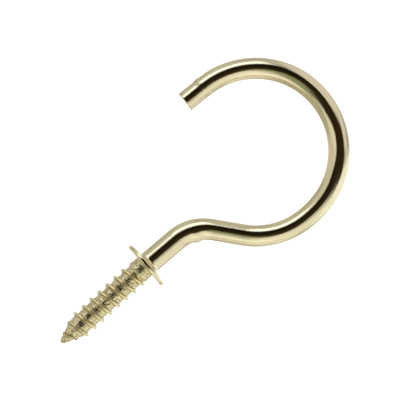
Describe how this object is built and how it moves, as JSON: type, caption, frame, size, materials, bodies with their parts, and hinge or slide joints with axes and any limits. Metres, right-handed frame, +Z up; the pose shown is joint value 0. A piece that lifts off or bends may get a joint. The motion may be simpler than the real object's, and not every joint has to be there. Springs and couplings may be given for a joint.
{
  "type": "cup hook",
  "caption": "Screw-in cup hook: a threaded shank with a gimlet point, a round collar, and a wire bent back into an open loop for hanging cups or keys.",
  "frame": {"origin": "centre of the collar's seat, on the neck's axis", "axes": "+X along the neck towards the loop, seen from above; +Y towards the side on which the loop stands out and its mouth opens; +Z up from the surface the hook lies on"},
  "size_m": [0.0548, 0.0282, 0.0078],
  "materials": {
    "plated_wire": "bright brass plating with light wear"
  },
  "bodies": {
    "root": {"cup_hook": "plated_wire"}
  },
  "joints": []
}
